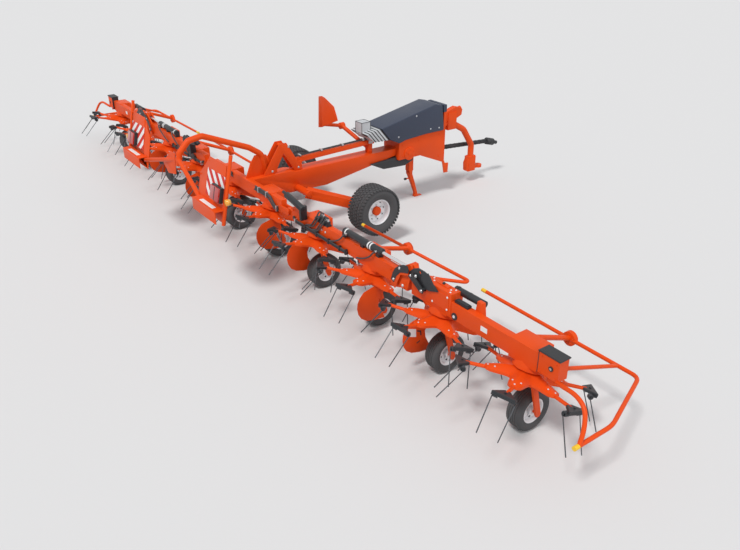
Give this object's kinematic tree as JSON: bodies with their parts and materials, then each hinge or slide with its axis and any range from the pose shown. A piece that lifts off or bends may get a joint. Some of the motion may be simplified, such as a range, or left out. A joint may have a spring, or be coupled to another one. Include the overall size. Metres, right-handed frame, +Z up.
{
  "type": "trailed rotary hay tedder",
  "caption": "Trailed rotary tedder unfolded for work: a row of tined rotors on gauge wheels, hinged wings, transport wheels, drawbar and parking stand.",
  "frame": {"origin": "on the ground, under the middle of the whole machine", "axes": "+X to the machine's right along the row of rotors, +Y the direction of travel, +Z up"},
  "size_m": [11.358, 5.7761, 1.7542],
  "materials": {
    "paint": "glossy orange-red machine enamel",
    "rotor_paint": "orange-red enamel on the star, dark steel tines",
    "tyre": "black rubber",
    "rim": "silver paint",
    "cover_plastic": "dark blue-grey moulded plastic",
    "grey_plastic": "light grey plastic",
    "black_plastic": "black plastic",
    "black_steel": "black paint",
    "board": "white board with red diagonal stripes",
    "hose": "black rubber hose",
    "red_lens": "red lens",
    "amber_lens": "amber lens"
  },
  "bodies": {
    "chassis": {"arch": "paint", "belly_guard": "black_plastic", "centre_frame": "paint", "cover": "cover_plastic", "cover_rear": "grey_plastic", "drawbar": "paint", "headstock": "paint", "hoses": "hose", "lamp_amber": "amber_lens", "lamp_red": "red_lens", "main_beam": "paint", "mast": "paint", "panel_frame_left": "paint", "panel_frame_right": "paint", "pto_guard": "black_plastic", "side_arm": "paint", "upper_beam": "paint", "warning_board_left": "board", "warning_board_right": "board"},
    "inner_wing_right": {"fold_cylinder_outer_right": "black_steel", "guard_inner_right": "paint", "inner_frame_right": "paint"},
    "outer_wing_right": {"fold_link_right": "black_steel", "guard_outer_right": "paint", "outer_frame_right": "paint"},
    "swing_arm_right": {"swing_arm_right": "paint"},
    "road_wheel_right": {"road_rim_right": "rim", "road_tyre_right": "tyre"},
    "inner_wing_left": {"fold_cylinder_outer_left": "black_steel", "guard_inner_left": "paint", "inner_frame_left": "paint"},
    "outer_wing_left": {"fold_link_left": "black_steel", "guard_outer_left": "paint", "outer_frame_left": "paint"},
    "swing_arm_left": {"swing_arm_left": "paint"},
    "road_wheel_left": {"road_rim_left": "rim", "road_tyre_left": "tyre"},
    "rotor_01": {"rotor_01": "rotor_paint"},
    "gauge_wheel_01": {"gauge_wheel_01": "tyre"},
    "rotor_02": {"rotor_02": "rotor_paint"},
    "gauge_wheel_02": {"gauge_wheel_02": "tyre"},
    "rotor_03": {"rotor_03": "rotor_paint"},
    "gauge_wheel_03": {"gauge_wheel_03": "tyre"},
    "rotor_04": {"rotor_04": "rotor_paint"},
    "gauge_wheel_04": {"gauge_wheel_04": "tyre"},
    "rotor_05": {"rotor_05": "rotor_paint"},
    "gauge_wheel_05": {"gauge_wheel_05": "tyre"},
    "rotor_06": {"rotor_06": "rotor_paint"},
    "gauge_wheel_06": {"gauge_wheel_06": "tyre"},
    "rotor_07": {"rotor_07": "rotor_paint"},
    "gauge_wheel_07": {"gauge_wheel_07": "tyre"},
    "rotor_08": {"rotor_08": "rotor_paint"},
    "gauge_wheel_08": {"gauge_wheel_08": "tyre"},
    "rotor_09": {"rotor_09": "rotor_paint"},
    "gauge_wheel_09": {"gauge_wheel_09": "tyre"},
    "rotor_10": {"rotor_10": "rotor_paint"},
    "gauge_wheel_10": {"gauge_wheel_10": "tyre"},
    "stand": {"stand_leg": "paint"},
    "drive_yoke": {"pto_yoke": "black_steel"}
  },
  "joints": [
    {"name": "inner_fold_right", "type": "hinge", "parent": "chassis", "child": "inner_wing_right", "pos_m": [1.08, -1.775, 0.8], "axis": [0, -1, 0], "range_deg": [0, 80]},
    {"name": "outer_fold_right", "type": "hinge", "parent": "inner_wing_right", "child": "outer_wing_right", "pos_m": [3.4, -1.775, 1], "axis": [0, -1, 0], "range_deg": [0, 180]},
    {"name": "wheel_arm_right", "type": "hinge", "parent": "chassis", "child": "swing_arm_right", "pos_m": [0, -1.125, 0.65], "axis": [1, 0, 0], "range_deg": [-38, 0]},
    {"name": "road_wheel_spin_right", "type": "hinge", "parent": "swing_arm_right", "child": "road_wheel_right", "pos_m": [1.019, -0.519, 0.485], "axis": [1, 0, 0], "continuous": true},
    {"name": "inner_fold_left", "type": "hinge", "parent": "chassis", "child": "inner_wing_left", "pos_m": [-1.08, -1.775, 0.8], "axis": [0, 1, 0], "range_deg": [0, 80]},
    {"name": "outer_fold_left", "type": "hinge", "parent": "inner_wing_left", "child": "outer_wing_left", "pos_m": [-3.4, -1.775, 1], "axis": [0, 1, 0], "range_deg": [0, 180]},
    {"name": "wheel_arm_left", "type": "hinge", "parent": "chassis", "child": "swing_arm_left", "pos_m": [0, -1.125, 0.65], "axis": [1, 0, 0], "range_deg": [-38, 0]},
    {"name": "road_wheel_spin_left", "type": "hinge", "parent": "swing_arm_left", "child": "road_wheel_left", "pos_m": [-1.019, -0.519, 0.485], "axis": [1, 0, 0], "continuous": true},
    {"name": "rotor_spin_01", "type": "hinge", "parent": "outer_wing_right", "child": "rotor_01", "pos_m": [4.86, -1.775, 0.569], "axis": [0, 0.2924, 0.9563], "continuous": true},
    {"name": "gauge_wheel_spin_01", "type": "hinge", "parent": "outer_wing_right", "child": "gauge_wheel_01", "pos_m": [4.86, -1.701, 0.2025], "axis": [1, 0, 0], "continuous": true},
    {"name": "rotor_spin_02", "type": "hinge", "parent": "outer_wing_right", "child": "rotor_02", "pos_m": [3.78, -1.775, 0.569], "axis": [0, 0.2924, 0.9563], "continuous": true},
    {"name": "gauge_wheel_spin_02", "type": "hinge", "parent": "outer_wing_right", "child": "gauge_wheel_02", "pos_m": [3.78, -1.701, 0.2025], "axis": [1, 0, 0], "continuous": true},
    {"name": "rotor_spin_03", "type": "hinge", "parent": "inner_wing_right", "child": "rotor_03", "pos_m": [2.7, -1.775, 0.569], "axis": [0, 0.2924, 0.9563], "continuous": true},
    {"name": "gauge_wheel_spin_03", "type": "hinge", "parent": "inner_wing_right", "child": "gauge_wheel_03", "pos_m": [2.7, -1.701, 0.2025], "axis": [1, 0, 0], "continuous": true},
    {"name": "rotor_spin_04", "type": "hinge", "parent": "inner_wing_right", "child": "rotor_04", "pos_m": [1.62, -1.775, 0.569], "axis": [0, 0.2924, 0.9563], "continuous": true},
    {"name": "gauge_wheel_spin_04", "type": "hinge", "parent": "inner_wing_right", "child": "gauge_wheel_04", "pos_m": [1.62, -1.701, 0.2025], "axis": [1, 0, 0], "continuous": true},
    {"name": "rotor_spin_05", "type": "hinge", "parent": "chassis", "child": "rotor_05", "pos_m": [0.54, -1.775, 0.569], "axis": [0, 0.2924, 0.9563], "continuous": true},
    {"name": "gauge_wheel_spin_05", "type": "hinge", "parent": "chassis", "child": "gauge_wheel_05", "pos_m": [0.54, -1.701, 0.2285], "axis": [1, 0, 0], "continuous": true},
    {"name": "rotor_spin_06", "type": "hinge", "parent": "chassis", "child": "rotor_06", "pos_m": [-0.54, -1.775, 0.569], "axis": [0, 0.2924, 0.9563], "continuous": true},
    {"name": "gauge_wheel_spin_06", "type": "hinge", "parent": "chassis", "child": "gauge_wheel_06", "pos_m": [-0.54, -1.701, 0.2285], "axis": [1, 0, 0], "continuous": true},
    {"name": "rotor_spin_07", "type": "hinge", "parent": "inner_wing_left", "child": "rotor_07", "pos_m": [-1.62, -1.775, 0.569], "axis": [0, 0.2924, 0.9563], "continuous": true},
    {"name": "gauge_wheel_spin_07", "type": "hinge", "parent": "inner_wing_left", "child": "gauge_wheel_07", "pos_m": [-1.62, -1.701, 0.2025], "axis": [1, 0, 0], "continuous": true},
    {"name": "rotor_spin_08", "type": "hinge", "parent": "inner_wing_left", "child": "rotor_08", "pos_m": [-2.7, -1.775, 0.569], "axis": [0, 0.2924, 0.9563], "continuous": true},
    {"name": "gauge_wheel_spin_08", "type": "hinge", "parent": "inner_wing_left", "child": "gauge_wheel_08", "pos_m": [-2.7, -1.701, 0.2025], "axis": [1, 0, 0], "continuous": true},
    {"name": "rotor_spin_09", "type": "hinge", "parent": "outer_wing_left", "child": "rotor_09", "pos_m": [-3.78, -1.775, 0.569], "axis": [0, 0.2924, 0.9563], "continuous": true},
    {"name": "gauge_wheel_spin_09", "type": "hinge", "parent": "outer_wing_left", "child": "gauge_wheel_09", "pos_m": [-3.78, -1.701, 0.2025], "axis": [1, 0, 0], "continuous": true},
    {"name": "rotor_spin_10", "type": "hinge", "parent": "outer_wing_left", "child": "rotor_10", "pos_m": [-4.86, -1.775, 0.569], "axis": [0, 0.2924, 0.9563], "continuous": true},
    {"name": "gauge_wheel_spin_10", "type": "hinge", "parent": "outer_wing_left", "child": "gauge_wheel_10", "pos_m": [-4.86, -1.701, 0.2025], "axis": [1, 0, 0], "continuous": true},
    {"name": "stand_fold", "type": "hinge", "parent": "chassis", "child": "stand", "pos_m": [0, 0.905, 0.405], "axis": [1, 0, 0], "range_deg": [-95, 0]},
    {"name": "drive_spin", "type": "hinge", "parent": "chassis", "child": "drive_yoke", "pos_m": [-0.11, 2.855, 0.505], "axis": [0, 0.9623, -0.272], "continuous": true}
  ],
  "couplings": [
    {"joint": "rotor_spin_02", "follows": "rotor_spin_01", "ratio": -1},
    {"joint": "rotor_spin_03", "follows": "rotor_spin_01", "ratio": 1},
    {"joint": "rotor_spin_04", "follows": "rotor_spin_01", "ratio": -1},
    {"joint": "rotor_spin_05", "follows": "rotor_spin_01", "ratio": 1},
    {"joint": "rotor_spin_06", "follows": "rotor_spin_01", "ratio": -1},
    {"joint": "rotor_spin_07", "follows": "rotor_spin_01", "ratio": 1},
    {"joint": "rotor_spin_08", "follows": "rotor_spin_01", "ratio": -1},
    {"joint": "rotor_spin_09", "follows": "rotor_spin_01", "ratio": 1},
    {"joint": "rotor_spin_10", "follows": "rotor_spin_01", "ratio": -1}
  ]
}
